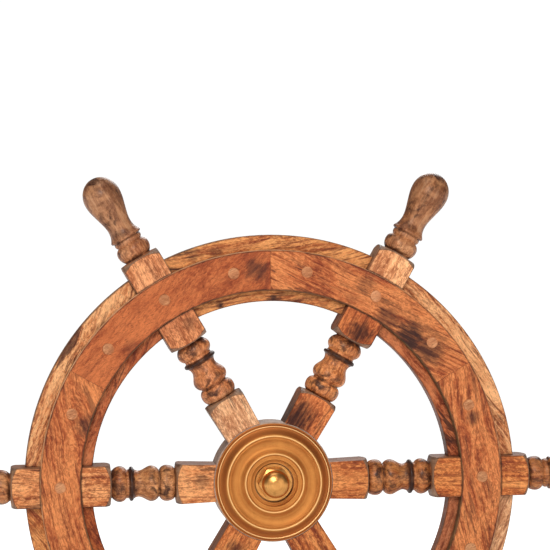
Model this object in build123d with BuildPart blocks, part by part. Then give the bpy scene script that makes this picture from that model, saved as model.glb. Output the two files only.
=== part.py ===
from build123d import *
import os

# ---------------------------------------------------------------- driving sizes
# Millimetres.  +Z up, the wheel turns about the Y axis and faces -Y.
# The origin is the centre of the bearing flange's mounting face.
MID_Y = -80.0             # wheel mid-plane, in front of the bulkhead
N_SPOKES = 6
PITCH = 360.0 / N_SPOKES

TIP_R = 305.0             # handle tip: 610 mm (24 in) over the handles
STOCK = 35.0              # spokes are turned from 35 mm square stock
ARRIS = 1.6               # rounded corners of the square blocks
FELLOE_R_OUT = 214.2
FELLOE_R_IN = 156.6
FELLOE_T = 18.0
RING_R_OUT = 201.2
RING_R_IN = 166.1
RING_T = 8.5
RING_GAP = 0.08           # sets the open joint between ring segments
LAP_GAP = 0.1             # radial room between ring and spoke notch

PLUG_R = 5.0
PLUG_DEPTH = 4.0
PLUG_PITCH_R = 184.1
PLUG_COUNT = 18
SCREW_HEAD_R = 4.0
SCREW_HEAD_T = 2.4
SCREW_SHANK_R = 2.0
SCREW_INTO_CORE = 8.3     # how far a screw runs into the felloe or spoke

NAVE_R = 52.0
NAVE_BORE_R = 17.05
TENON_W = 22.0
TENON_T = 20.0
TENON_R_IN = 34.0
BLOCK_W_HUB = 31.6        # width of the hub block where it meets the nave
BLOCK_W_OUT = 34.6

PLATE_R = 51.0
BOLT_PITCH_R = 40.0
BOLT_R = 3.0
BOLT_HOLE_R = 3.2
BOLT_TAP_R = 3.02
BOLT_HEAD_AF = 10.0
BOLT_HEAD_H = 4.0

SHAFT_R = 9.525           # 3/4 in helm shaft
SHAFT_THREAD_R = 8.0
OUTPUT_R = 7.9375         # 5/8 in stub that takes the steering gear's coupling
OUTPUT_Y = 16.0           # where the shaft steps down to it
RUN_CLEAR = 0.05          # radial clearance of the running fits
SLEEVE_R = 17.0
SLEEVE_FLANGE_R = 22.0
KEY = 4.76                # 3/16 in square key
OUTPUT_KEY = 4.0          # key of the output stub
SHAFT_REAR_Y = 75.0

FLANGE_R = 40.0
FLANGE_T = 10.0
HOUSING_R = 20.0
HOUSING_FRONT_Y = -43.2
BUSH_R = 12.48
BUSH_BORE_R = 12.5
MOUNT_PCD_R = 31.0
MOUNT_HOLE_R = 4.25
RELIEF_R = 18.0           # shallow relief in the mounting face, round the bush
RELIEF_DEPTH = 1.0
END_PLAY = 0.3
REAR_WASHER_Y = -RELIEF_DEPTH + END_PLAY + 2.0     # rear face of the rear thrust washer
COLLAR_T = 12.0

HALF_T = FELLOE_T / 2 + RING_T      # 17.5: half of the full thickness


# ---------------------------------------------------------------- work planes
def face_plane(y):
    """Plane normal to the spin axis: local x, y are global X, Z; +normal is -Y."""
    return Plane(origin=(0, y, 0), x_dir=(1, 0, 0), z_dir=(0, -1, 0))


# Half-section plane: local x is the radius, local y runs along the spin axis
# measured from the wheel's mid-plane.
wheel_section = Plane(origin=(0, MID_Y, 0), x_dir=(1, 0, 0), z_dir=(0, 0, 1))
frame_section = Plane(origin=(0, 0, 0), x_dir=(1, 0, 0), z_dir=(0, 0, 1))
# Cross-section of a spoke, looking out along +X
spoke_axis = Axis((0, MID_Y, 0), (1, 0, 0))

os.makedirs("parts", exist_ok=True)


# ---------------------------------------------------------------- spoke
# Turned outline, radius against distance from the wheel's axis.  Each inner
# list is one smooth run; runs meet at sharp corners cut by the skew chisel.
turning = [
    [(44.0, 26.0), (77.4, 26.0)],
    [(77.4, 26.0), (79.9, 23.6), (82.2, 20.6), (83.6, 17.5)],
    [(83.6, 17.5), (84.5, 12.3)],
    [(84.5, 12.3), (86.2, 14.2), (88.6, 15.3), (91.4, 15.7), (94.2, 15.3), (96.4, 14.0), (97.9, 11.8)],
    [(97.9, 11.8), (98.6, 11.8)],
    [(98.6, 11.8), (99.9, 13.5), (101.7, 14.7), (103.6, 15.35), (105.2, 15.45), (106.9, 15.15),
     (108.7, 14.4), (110.5, 13.4), (112.2, 12.45), (114.0, 11.7), (115.7, 11.35), (117.4, 11.55),
     (118.9, 12.1), (120.4, 13.2)],
    [(120.4, 13.2), (120.8, 14.1)],
    [(120.8, 14.1), (121.4, 14.7), (122.3, 14.95), (123.2, 14.7), (123.8, 14.1)],
    [(123.8, 14.1), (124.2, 12.9)],
    [(124.2, 12.9), (125.4, 12.4), (126.6, 12.5)],
    [(126.6, 12.5), (127.9, 13.9), (129.6, 15.0), (131.4, 15.5), (133.2, 15.5), (135.0, 15.05),
     (136.8, 14.1), (138.3, 12.8), (139.2, 11.8)],
    [(139.2, 11.8), (139.8, 11.8)],
    [(139.8, 11.8), (140.5, 17.5)],
    [(140.5, 17.5), (142.0, 20.6), (144.4, 23.6), (147.2, 26.0)],
    [(147.2, 26.0), (219.2, 26.0)],
    [(219.2, 26.0), (222.0, 23.6), (224.4, 20.6), (225.9, 17.5)],
    [(225.9, 17.5), (226.6, 11.9)],
    [(226.6, 11.9), (227.1, 11.9)],
    [(227.1, 11.9), (228.6, 13.2), (230.4, 14.2), (232.4, 14.8), (234.8, 15.0), (236.9, 14.7),
     (238.6, 13.9), (240.1, 12.5), (241.0, 11.2)],
    [(241.0, 11.2), (241.6, 11.7)],
    [(241.6, 11.7), (242.8, 12.4), (244.2, 12.6), (245.6, 12.2)],
    [(245.6, 12.2), (246.1, 12.6)],
    [(246.1, 12.6), (246.5, 13.7), (247.3, 14.25), (248.2, 14.1), (249.0, 13.5)],
    [(249.0, 13.5), (250.6, 12.6), (252.6, 11.8), (254.8, 11.25), (257.2, 10.95), (259.6, 11.0),
     (262.4, 11.35), (265.6, 12.05), (269.0, 12.95), (272.6, 13.95), (276.2, 14.95), (279.8, 15.8),
     (283.2, 16.35), (286.4, 16.55), (289.4, 16.4), (292.2, 15.85), (294.8, 14.88), (297.2, 13.62),
     (299.4, 11.98), (301.4, 9.93), (303.1, 7.4), (304.3, 4.62), (304.85, 2.13), (305.0, 0.0)],
]

with BuildPart() as square_stock:
    # tapered block at the hub
    with BuildSketch(Plane(origin=(44.0, MID_Y, 0), x_dir=(0, 1, 0), z_dir=(1, 0, 0))):
        RectangleRounded(STOCK, BLOCK_W_HUB, ARRIS)
    with BuildSketch(Plane(origin=(84.0, MID_Y, 0), x_dir=(0, 1, 0), z_dir=(1, 0, 0))):
        RectangleRounded(STOCK, BLOCK_W_OUT, ARRIS)
    loft()
    # the rest of the stock, square and straight
    with BuildSketch(Plane(origin=(84.0, MID_Y, 0), x_dir=(0, 1, 0), z_dir=(1, 0, 0))):
        RectangleRounded(STOCK, STOCK, ARRIS)
    extrude(amount=TIP_R + 2.0 - 84.0)

with BuildPart() as spoke_blank:
    with BuildSketch(wheel_section):
        with BuildLine():
            Line((44.0, 0), (44.0, 26.0))
            for run in turning:
                if len(run) == 2:
                    Line(run[0], run[1])
                else:
                    Spline(*run)
            Line((TIP_R, 0), (44.0, 0))
        make_face()
    revolve(axis=spoke_axis)
    # only the square stock carries wood
    add(square_stock.part, mode=Mode.INTERSECT)
    # concave end that seats on the nave
    with BuildSketch(face_plane(MID_Y + HALF_T + 1)):
        Circle(NAVE_R + 0.05)
    extrude(amount=STOCK + 2, mode=Mode.SUBTRACT)
    # tenon in the nave's mortise
    with BuildSketch(face_plane(MID_Y + TENON_T / 2)):
        with Locations(((TENON_R_IN + NAVE_R + 4) / 2, 0)):
            Rectangle(NAVE_R + 4 - TENON_R_IN, TENON_W)
    extrude(amount=TENON_T)
    # hub bolt
    with BuildSketch(face_plane(MID_Y + HALF_T + 1)):
        with Locations((BOLT_PITCH_R, 0)):
            Circle(BOLT_HOLE_R)
    extrude(amount=STOCK + 2, mode=Mode.SUBTRACT)
    # laps for the front and rear rings
    for y0 in (MID_Y - FELLOE_T / 2, MID_Y + HALF_T + 1.0):
        with BuildSketch(face_plane(y0)):
            Circle(RING_R_OUT + LAP_GAP)
            Circle(RING_R_IN - LAP_GAP, mode=Mode.SUBTRACT)
        extrude(amount=RING_T + 1.0, mode=Mode.SUBTRACT)
    # pilot holes for the ring screws, front and rear
    for y0 in (MID_Y - FELLOE_T / 2 + SCREW_INTO_CORE, MID_Y + FELLOE_T / 2):
        with BuildSketch(face_plane(y0)):
            with Locations((PLUG_PITCH_R, 0)):
                Circle(SCREW_SHANK_R + 0.02)
        extrude(amount=SCREW_INTO_CORE, mode=Mode.SUBTRACT)

for k in range(N_SPOKES):
    with BuildPart() as spoke:
        add(spoke_blank.part.rotate(Axis.Y, -PITCH * k))
    spoke.part.label = f"spoke_{k + 1}"
    export_step(spoke.part, f"parts/spoke_{k + 1}.step")


# ---------------------------------------------------------------- felloes
# The middle layer of the rim: one curved board between each pair of spokes.
with BuildPart() as felloe_blank:
    with BuildSketch(face_plane(MID_Y + FELLOE_T / 2)):
        Circle(FELLOE_R_OUT)
        Circle(FELLOE_R_IN, mode=Mode.SUBTRACT)
    extrude(amount=FELLOE_T)
    rim_edges = felloe_blank.edges().filter_by(GeomType.CIRCLE)
    fillet(rim_edges, radius=1.8)
    # keep the sixth between the spokes at 0 and 60 degrees
    with BuildSketch(face_plane(MID_Y + FELLOE_T)):
        with BuildLine():
            Polyline((0, 0), (300, 0), (300, 300 * 1.7320508), (0, 0))
        make_face()
    extrude(amount=2 * FELLOE_T, mode=Mode.INTERSECT)
    for ang in (0.0, PITCH):
        with BuildSketch(face_plane(MID_Y + FELLOE_T)):
            with Locations(Location((0, 0, 0), (0, 0, ang))):
                with Locations((200, 0)):
                    Rectangle(200, STOCK)
        extrude(amount=2 * FELLOE_T, mode=Mode.SUBTRACT)
    for y0 in (MID_Y - FELLOE_T / 2 + SCREW_INTO_CORE, MID_Y + FELLOE_T / 2):
        with BuildSketch(face_plane(y0)):
            with PolarLocations(PLUG_PITCH_R, PLUG_COUNT):
                Circle(SCREW_SHANK_R + 0.02)
        extrude(amount=SCREW_INTO_CORE, mode=Mode.SUBTRACT)

for k in range(N_SPOKES):
    with BuildPart() as felloe:
        add(felloe_blank.part.rotate(Axis.Y, -PITCH * k))
    felloe.part.label = f"felloe_{k + 1}"
    export_step(felloe.part, f"parts/felloe_{k + 1}.step")


# ---------------------------------------------------------------- face rings
# One board over each spoke, butting half-way across the bays.
def ring_blank(front):
    y_core = MID_Y - FELLOE_T / 2 if front else MID_Y + FELLOE_T / 2 + RING_T
    with BuildPart() as blank:
        with BuildSketch(face_plane(y_core)):
            Circle(RING_R_OUT)
            Circle(RING_R_IN, mode=Mode.SUBTRACT)
        extrude(amount=RING_T)
        outer = blank.faces().sort_by(Axis.Y)[0 if front else -1]
        fillet(outer.edges(), radius=1.1)
        # segment from -30 to +30 degrees, less the open joint
        with BuildSketch(face_plane(y_core + 2)):
            with BuildLine():
                Polyline((RING_GAP / 0.5, 0), (300 + RING_GAP / 0.5, 300 * 0.57735),
                         (300 + RING_GAP / 0.5, -300 * 0.57735), (RING_GAP / 0.5, 0))
            make_face()
        extrude(amount=RING_T + 4, mode=Mode.INTERSECT)
        # counterbores for the plugs and clearance for the screws
        y_face = MID_Y - HALF_T if front else MID_Y + HALF_T
        y_back = y_face + PLUG_DEPTH + SCREW_HEAD_T if front else y_face
        with BuildSketch(face_plane(y_face + PLUG_DEPTH if front else y_face)):
            with PolarLocations(PLUG_PITCH_R, PLUG_COUNT):
                Circle(PLUG_R + 0.02)
        extrude(amount=PLUG_DEPTH, mode=Mode.SUBTRACT)
        with BuildSketch(face_plane(y_back if front else y_face - PLUG_DEPTH)):
            with PolarLocations(PLUG_PITCH_R, PLUG_COUNT):
                Circle(SCREW_HEAD_R + 0.05)
        extrude(amount=SCREW_HEAD_T, mode=Mode.SUBTRACT)
        with BuildSketch(face_plane(y_core + 1)):
            with PolarLocations(PLUG_PITCH_R, PLUG_COUNT):
                Circle(SCREW_SHANK_R + 0.1)
        extrude(amount=RING_T + 2, mode=Mode.SUBTRACT)
    return blank


front_ring_blank = ring_blank(True)
rear_ring_blank = ring_blank(False)
for k in range(N_SPOKES):
    with BuildPart() as front_ring:
        add(front_ring_blank.part.rotate(Axis.Y, -PITCH * k))
    front_ring.part.label = f"front_ring_{k + 1}"
    export_step(front_ring.part, f"parts/front_ring_{k + 1}.step")
    with BuildPart() as rear_ring:
        add(rear_ring_blank.part.rotate(Axis.Y, -PITCH * k))
    rear_ring.part.label = f"rear_ring_{k + 1}"
    export_step(rear_ring.part, f"parts/rear_ring_{k + 1}.step")


# ---------------------------------------------------------------- plugs and screws
with BuildPart() as front_plugs:
    with BuildSketch(face_plane(MID_Y - HALF_T + PLUG_DEPTH)):
        with PolarLocations(PLUG_PITCH_R, PLUG_COUNT):
            Circle(PLUG_R)
    extrude(amount=PLUG_DEPTH)
front_plugs.part.label = "front_plugs"
export_step(front_plugs.part, "parts/front_plugs.step")

with BuildPart() as rear_plugs:
    with BuildSketch(face_plane(MID_Y + HALF_T)):
        with PolarLocations(PLUG_PITCH_R, PLUG_COUNT):
            Circle(PLUG_R)
    extrude(amount=PLUG_DEPTH)
rear_plugs.part.label = "rear_plugs"
export_step(rear_plugs.part, "parts/rear_plugs.step")

with BuildPart() as front_screws:
    with BuildSketch(face_plane(MID_Y - HALF_T + PLUG_DEPTH + SCREW_HEAD_T)):
        with PolarLocations(PLUG_PITCH_R, PLUG_COUNT):
            Circle(SCREW_HEAD_R)
    extrude(amount=SCREW_HEAD_T)
    with BuildSketch(face_plane(MID_Y - FELLOE_T / 2 + SCREW_INTO_CORE)):
        with PolarLocations(PLUG_PITCH_R, PLUG_COUNT):
            Circle(SCREW_SHANK_R)
    extrude(amount=SCREW_INTO_CORE + RING_T - PLUG_DEPTH - SCREW_HEAD_T)
front_screws.part.label = "front_screws"
export_step(front_screws.part, "parts/front_screws.step")

with BuildPart() as rear_screws:
    with BuildSketch(face_plane(MID_Y + HALF_T - PLUG_DEPTH)):
        with PolarLocations(PLUG_PITCH_R, PLUG_COUNT):
            Circle(SCREW_HEAD_R)
    extrude(amount=SCREW_HEAD_T)
    with BuildSketch(face_plane(MID_Y + HALF_T - PLUG_DEPTH - SCREW_HEAD_T)):
        with PolarLocations(PLUG_PITCH_R, PLUG_COUNT):
            Circle(SCREW_SHANK_R)
    extrude(amount=SCREW_INTO_CORE + RING_T - PLUG_DEPTH - SCREW_HEAD_T)
rear_screws.part.label = "rear_screws"
export_step(rear_screws.part, "parts/rear_screws.step")


# ---------------------------------------------------------------- hub
with BuildPart() as hub_nave:
    with BuildSketch(face_plane(MID_Y + HALF_T)):
        Circle(NAVE_R)
        Circle(NAVE_BORE_R, mode=Mode.SUBTRACT)
    extrude(amount=2 * HALF_T)
    nave_rim = hub_nave.edges().filter_by(GeomType.CIRCLE).sort_by(SortBy.RADIUS)[-2:]
    fillet(nave_rim, radius=1.2)
    # mortises for the six tenons
    with BuildSketch(face_plane(MID_Y + TENON_T / 2)):
        with PolarLocations((TENON_R_IN + NAVE_R + 2) / 2, N_SPOKES):
            Rectangle(NAVE_R + 2 - TENON_R_IN, TENON_W)
    extrude(amount=TENON_T, mode=Mode.SUBTRACT)
    with BuildSketch(face_plane(MID_Y + HALF_T + 1)):
        with PolarLocations(BOLT_PITCH_R, N_SPOKES):
            Circle(BOLT_HOLE_R)
    extrude(amount=STOCK + 2, mode=Mode.SUBTRACT)
hub_nave.part.label = "hub_nave"
export_step(hub_nave.part, "parts/hub_nave.step")

# Spun front plate: lip, bead, dished flank, ridge and groove, boss ring, recess
with BuildPart() as hub_front_plate:
    with BuildSketch(wheel_section):
        with BuildLine():
            Line((17.2, -HALF_T), (PLATE_R, -HALF_T))
            Line((PLATE_R, -HALF_T), (PLATE_R, -18.7))
            Spline((PLATE_R, -18.7), (50.7, -19.3), (50.1, -19.5))
            Line((50.1, -19.5), (49.8, -19.2))
            Spline((49.8, -19.2), (49.3, -20.1), (48.6, -20.5), (47.9, -20.3), (47.4, -19.8))
            Spline((47.4, -19.8), (46.2, -20.3), (44.9, -21.5), (43.6, -23.2), (42.5, -24.7), (41.6, -25.5),
                   (40.7, -25.8), (39.8, -25.6), (39.1, -24.9))
            Line((39.1, -24.9), (38.7, -24.9))
            Spline((38.7, -24.9), (38.1, -25.2), (37.5, -24.9))
            Spline((37.5, -24.9), (35.4, -23.9), (32.8, -23.5), (30.4, -23.8), (28.6, -24.8), (27.3, -26.2),
                   (26.3, -27.2), (25.3, -27.5), (24.3, -27.2), (23.7, -26.4))
            Line((23.7, -26.4), (20.6, -26.4))
            Line((20.6, -26.4), (20.2, -26.0))
            Line((20.2, -26.0), (20.2, -22.5))
            Line((20.2, -22.5), (17.2, -22.5))
            Line((17.2, -22.5), (17.2, -HALF_T))
        make_face()
    revolve(axis=Axis.Y)
    with BuildSketch(face_plane(MID_Y - HALF_T)):
        with PolarLocations(BOLT_PITCH_R, N_SPOKES):
            Circle(BOLT_TAP_R)
    extrude(amount=5.0, mode=Mode.SUBTRACT)
hub_front_plate.part.label = "hub_front_plate"
export_step(hub_front_plate.part, "parts/hub_front_plate.step")

with BuildPart() as hub_rear_plate:
    with BuildSketch(wheel_section):
        with BuildLine():
            Line((17.2, HALF_T), (PLATE_R, HALF_T))
            Line((PLATE_R, HALF_T), (PLATE_R, 19.4))
            Spline((PLATE_R, 19.4), (50.6, 20.4), (49.6, 20.9), (48.6, 20.5), (48.1, 19.9),
                   tangents=[(0, 1), (-1, -1)])
            Line((48.1, 19.9), (47.5, 20.6))
            Line((47.5, 20.6), (46.6, 22.5))
            Line((46.6, 22.5), (31.5, 22.5))
            Spline((31.5, 22.5), (27.0, 23.3), (24.2, 26.0), tangents=[(-1, 0), (-0.6, 1)])
            Line((24.2, 26.0), (17.2, 26.0))
            Line((17.2, 26.0), (17.2, HALF_T))
        make_face()
    revolve(axis=Axis.Y)
    with BuildSketch(face_plane(MID_Y + 30)):
        with PolarLocations(BOLT_PITCH_R, N_SPOKES):
            Circle(BOLT_HOLE_R)
    extrude(amount=14, mode=Mode.SUBTRACT)
hub_rear_plate.part.label = "hub_rear_plate"
export_step(hub_rear_plate.part, "parts/hub_rear_plate.step")

# Six bolts from the rear, tapped into the front plate
with BuildPart() as hub_bolts:
    with BuildSketch(face_plane(MID_Y + 22.5 + BOLT_HEAD_H)):
        with PolarLocations(BOLT_PITCH_R, N_SPOKES):
            RegularPolygon(BOLT_HEAD_AF / 2, 6, major_radius=False)
    extrude(amount=BOLT_HEAD_H)
    head_tops = hub_bolts.faces().filter_by(Axis.Y).group_by(Axis.Y)[-1]
    chamfer(head_tops.edges(), length=0.6)
    with BuildSketch(face_plane(MID_Y + 22.5)):
        with PolarLocations(BOLT_PITCH_R, N_SPOKES):
            Circle(BOLT_R)
    extrude(amount=22.5 + HALF_T + 4.6)
hub_bolts.part.label = "hub_bolts"
export_step(hub_bolts.part, "parts/hub_bolts.step")

# Bronze sleeve that carries the hub on the shaft
with BuildPart() as hub_sleeve:
    with BuildSketch(wheel_section):
        with BuildLine():
            Polyline((SHAFT_R + 0.03, -HALF_T), (SLEEVE_R, -HALF_T), (SLEEVE_R, 26.0),
                     (SLEEVE_FLANGE_R, 26.0), (SLEEVE_FLANGE_R, 29.2), (SLEEVE_FLANGE_R - 0.8, 30.0),
                     (SHAFT_R + 0.03, 30.0), (SHAFT_R + 0.03, -HALF_T))
        make_face()
    revolve(axis=Axis.Y)
    with BuildSketch(face_plane(MID_Y + 31)):
        with Locations((0, 9.0)):
            Rectangle(KEY, 2 * (SHAFT_R + KEY / 2 + 0.1 - 9.0))
    extrude(amount=52, mode=Mode.SUBTRACT)
hub_sleeve.part.label = "hub_sleeve"
export_step(hub_sleeve.part, "parts/hub_sleeve.step")

with BuildPart() as hub_key:
    with BuildSketch(face_plane(MID_Y + 14)):
        with Locations((0, SHAFT_R)):
            Rectangle(KEY, KEY)
    extrude(amount=28)
hub_key.part.label = "hub_key"
export_step(hub_key.part, "parts/hub_key.step")

with BuildPart() as hub_washer:
    with BuildSketch(face_plane(MID_Y - HALF_T)):
        Circle(16.4)
        Circle(SHAFT_THREAD_R + 0.25, mode=Mode.SUBTRACT)
    extrude(amount=2.5)
    chamfer(hub_washer.edges().filter_by(GeomType.CIRCLE).sort_by(SortBy.RADIUS)[-2:], length=0.4)
hub_washer.part.label = "hub_washer"
export_step(hub_washer.part, "parts/hub_washer.step")

# Domed nut on the front end of the shaft
with BuildPart() as hub_nut:
    with BuildSketch(wheel_section):
        with BuildLine():
            Line((SHAFT_THREAD_R + 0.02, -20.0), (14.2, -20.0))
            Line((14.2, -20.0), (14.2, -32.2))
            Line((14.2, -32.2), (12.0, -33.2))
            Spline((12.0, -33.2), (11.4, -36.6), (8.6, -39.9), (4.6, -41.6), (0.0, -42.0),
                   tangents=[(0, -1), (-1, 0)])
            Line((0.0, -42.0), (0.0, -37.2))
            Line((0.0, -37.2), (SHAFT_THREAD_R + 0.02, -37.2))
            Line((SHAFT_THREAD_R + 0.02, -37.2), (SHAFT_THREAD_R + 0.02, -20.0))
        make_face()
    revolve(axis=Axis.Y)
    with BuildSketch(face_plane(MID_Y - 19)):
        RegularPolygon(12.6, 6, major_radius=False)
    extrude(amount=26, mode=Mode.INTERSECT)
hub_nut.part.label = "hub_nut"
export_step(hub_nut.part, "parts/hub_nut.step")


# ---------------------------------------------------------------- helm shaft
with BuildPart() as helm_shaft:
    with BuildSketch(frame_section):
        with BuildLine():
            Polyline((0, MID_Y - 35.5), (SHAFT_THREAD_R - 1.0, MID_Y - 35.5), (SHAFT_THREAD_R, MID_Y - 34.5),
                     (SHAFT_THREAD_R, MID_Y - 16.0), (SHAFT_R, MID_Y - 16.0), (SHAFT_R, -50.0),
                     (13.0, -50.0), (13.0, -45.5), (SHAFT_R, -45.5), (SHAFT_R, OUTPUT_Y),
                     (OUTPUT_R, OUTPUT_Y), (OUTPUT_R, SHAFT_REAR_Y - 1.2),
                     (OUTPUT_R - 1.2, SHAFT_REAR_Y), (0, SHAFT_REAR_Y), (0, MID_Y - 35.5))
        make_face()
    revolve(axis=Axis.Y)
    # keyway under the hub
    with BuildSketch(face_plane(MID_Y + 14)):
        with Locations((0, SHAFT_R)):
            Rectangle(KEY, KEY)
    extrude(amount=28, mode=Mode.SUBTRACT)
    # keyway at the rear end, for the steering gear's coupling
    with BuildSketch(face_plane(SHAFT_REAR_Y + 1)):
        with Locations((0, OUTPUT_R)):
            Rectangle(OUTPUT_KEY, OUTPUT_KEY)
    extrude(amount=31, mode=Mode.SUBTRACT)
helm_shaft.part.label = "helm_shaft"
export_step(helm_shaft.part, "parts/helm_shaft.step")

with BuildPart() as front_thrust_washer:
    with BuildSketch(face_plane(HOUSING_FRONT_Y - END_PLAY)):
        Circle(15.5)
        Circle(SHAFT_R + 0.2, mode=Mode.SUBTRACT)
    extrude(amount=2.0)
front_thrust_washer.part.label = "front_thrust_washer"
export_step(front_thrust_washer.part, "parts/front_thrust_washer.step")

with BuildPart() as rear_thrust_washer:
    with BuildSketch(face_plane(REAR_WASHER_Y)):
        Circle(15.5)
        Circle(SHAFT_R + 0.2, mode=Mode.SUBTRACT)
    extrude(amount=2.0)
rear_thrust_washer.part.label = "rear_thrust_washer"
export_step(rear_thrust_washer.part, "parts/rear_thrust_washer.step")

with BuildPart() as shaft_collar:
    with BuildSketch(face_plane(REAR_WASHER_Y + COLLAR_T)):
        Circle(17.0)
        Circle(SHAFT_R + 0.03, mode=Mode.SUBTRACT)
    extrude(amount=COLLAR_T)
    chamfer(shaft_collar.edges().filter_by(GeomType.CIRCLE).sort_by(SortBy.RADIUS)[-2:], length=0.8)
    with BuildSketch(Plane(origin=(0, REAR_WASHER_Y + COLLAR_T / 2, 0), x_dir=(1, 0, 0), z_dir=(0, 0, 1))):
        Circle(3.02)
    extrude(amount=20.0, mode=Mode.SUBTRACT)
shaft_collar.part.label = "shaft_collar"
export_step(shaft_collar.part, "parts/shaft_collar.step")

with BuildPart() as collar_screw:
    with BuildSketch(Plane(origin=(0, REAR_WASHER_Y + COLLAR_T / 2, 9.6), x_dir=(1, 0, 0), z_dir=(0, 0, 1))):
        Circle(3.0)
    extrude(amount=6.6)
    with BuildSketch(Plane(origin=(0, REAR_WASHER_Y + COLLAR_T / 2, 16.2), x_dir=(1, 0, 0), z_dir=(0, 0, 1))):
        RegularPolygon(1.5, 6, major_radius=False)
    extrude(amount=-3.0, mode=Mode.SUBTRACT)
collar_screw.part.label = "collar_screw"
export_step(collar_screw.part, "parts/collar_screw.step")


# ---------------------------------------------------------------- bearing
# Flanged housing, fixed to the bulkhead or pedestal with four bolts
with BuildPart() as bearing_housing:
    with BuildSketch(frame_section):
        with BuildLine():
            Line((BUSH_BORE_R, HOUSING_FRONT_Y), (HOUSING_R - 1.5, HOUSING_FRONT_Y))
            Line((HOUSING_R - 1.5, HOUSING_FRONT_Y), (HOUSING_R, HOUSING_FRONT_Y + 1.5))
            Line((HOUSING_R, HOUSING_FRONT_Y + 1.5), (HOUSING_R, -15.0))
            Spline((HOUSING_R, -15.0), (20.9, -11.7), (23.4, -FLANGE_T), tangents=[(0, 1), (1, 0)])
            Line((23.4, -FLANGE_T), (FLANGE_R - 2.0, -FLANGE_T))
            Spline((FLANGE_R - 2.0, -FLANGE_T), (FLANGE_R - 0.6, -FLANGE_T + 0.6), (FLANGE_R, -FLANGE_T + 2.0),
                   tangents=[(1, 0), (0, 1)])
            Line((FLANGE_R, -FLANGE_T + 2.0), (FLANGE_R, 0))
            Line((FLANGE_R, 0), (RELIEF_R, 0))
            Line((RELIEF_R, 0), (RELIEF_R, -RELIEF_DEPTH))
            Line((RELIEF_R, -RELIEF_DEPTH), (BUSH_BORE_R, -RELIEF_DEPTH))
            Line((BUSH_BORE_R, -RELIEF_DEPTH), (BUSH_BORE_R, HOUSING_FRONT_Y))
        make_face()
    revolve(axis=Axis.Y)
    # four webs between barrel and flange
    for cx, cz in ((1, 0), (0, 1), (-1, 0), (0, -1)):
        with BuildSketch(Plane(origin=(0, 0, 0), x_dir=(cx, 0, cz), z_dir=(-cz, 0, cx))):
            with BuildLine():
                Polyline((BUSH_BORE_R + 3, -33.0), (HOUSING_R, -33.0), (36.0, -FLANGE_T), (36.0, -4.0),
                         (BUSH_BORE_R + 3, -4.0), (BUSH_BORE_R + 3, -33.0))
            make_face()
        extrude(amount=2.8, both=True)
    with BuildSketch(face_plane(1)):
        with PolarLocations(MOUNT_PCD_R, 4, start_angle=45):
            Circle(MOUNT_HOLE_R)
    extrude(amount=FLANGE_T + 6, mode=Mode.SUBTRACT)
bearing_housing.part.label = "bearing_housing"
export_step(bearing_housing.part, "parts/bearing_housing.step")

with BuildPart() as front_bush:
    with BuildSketch(face_plane(-25.2)):
        Circle(BUSH_R)
        Circle(SHAFT_R + RUN_CLEAR, mode=Mode.SUBTRACT)
    extrude(amount=18.0)
front_bush.part.label = "front_bush"
export_step(front_bush.part, "parts/front_bush.step")

with BuildPart() as rear_bush:
    with BuildSketch(face_plane(-RELIEF_DEPTH)):
        Circle(BUSH_R)
        Circle(SHAFT_R + RUN_CLEAR, mode=Mode.SUBTRACT)
    extrude(amount=18.0)
rear_bush.part.label = "rear_bush"
export_step(rear_bush.part, "parts/rear_bush.step")
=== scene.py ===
import bpy, math
from mathutils import Vector, Matrix

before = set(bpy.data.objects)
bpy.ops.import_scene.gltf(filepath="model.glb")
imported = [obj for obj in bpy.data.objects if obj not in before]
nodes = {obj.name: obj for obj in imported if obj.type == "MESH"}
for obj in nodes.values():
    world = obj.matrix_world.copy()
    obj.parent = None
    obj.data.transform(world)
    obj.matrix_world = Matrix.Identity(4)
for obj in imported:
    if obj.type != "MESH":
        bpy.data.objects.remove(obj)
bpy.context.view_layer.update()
MID = -0.080          # wheel mid-plane along Y, metres
scene = bpy.context.scene


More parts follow.
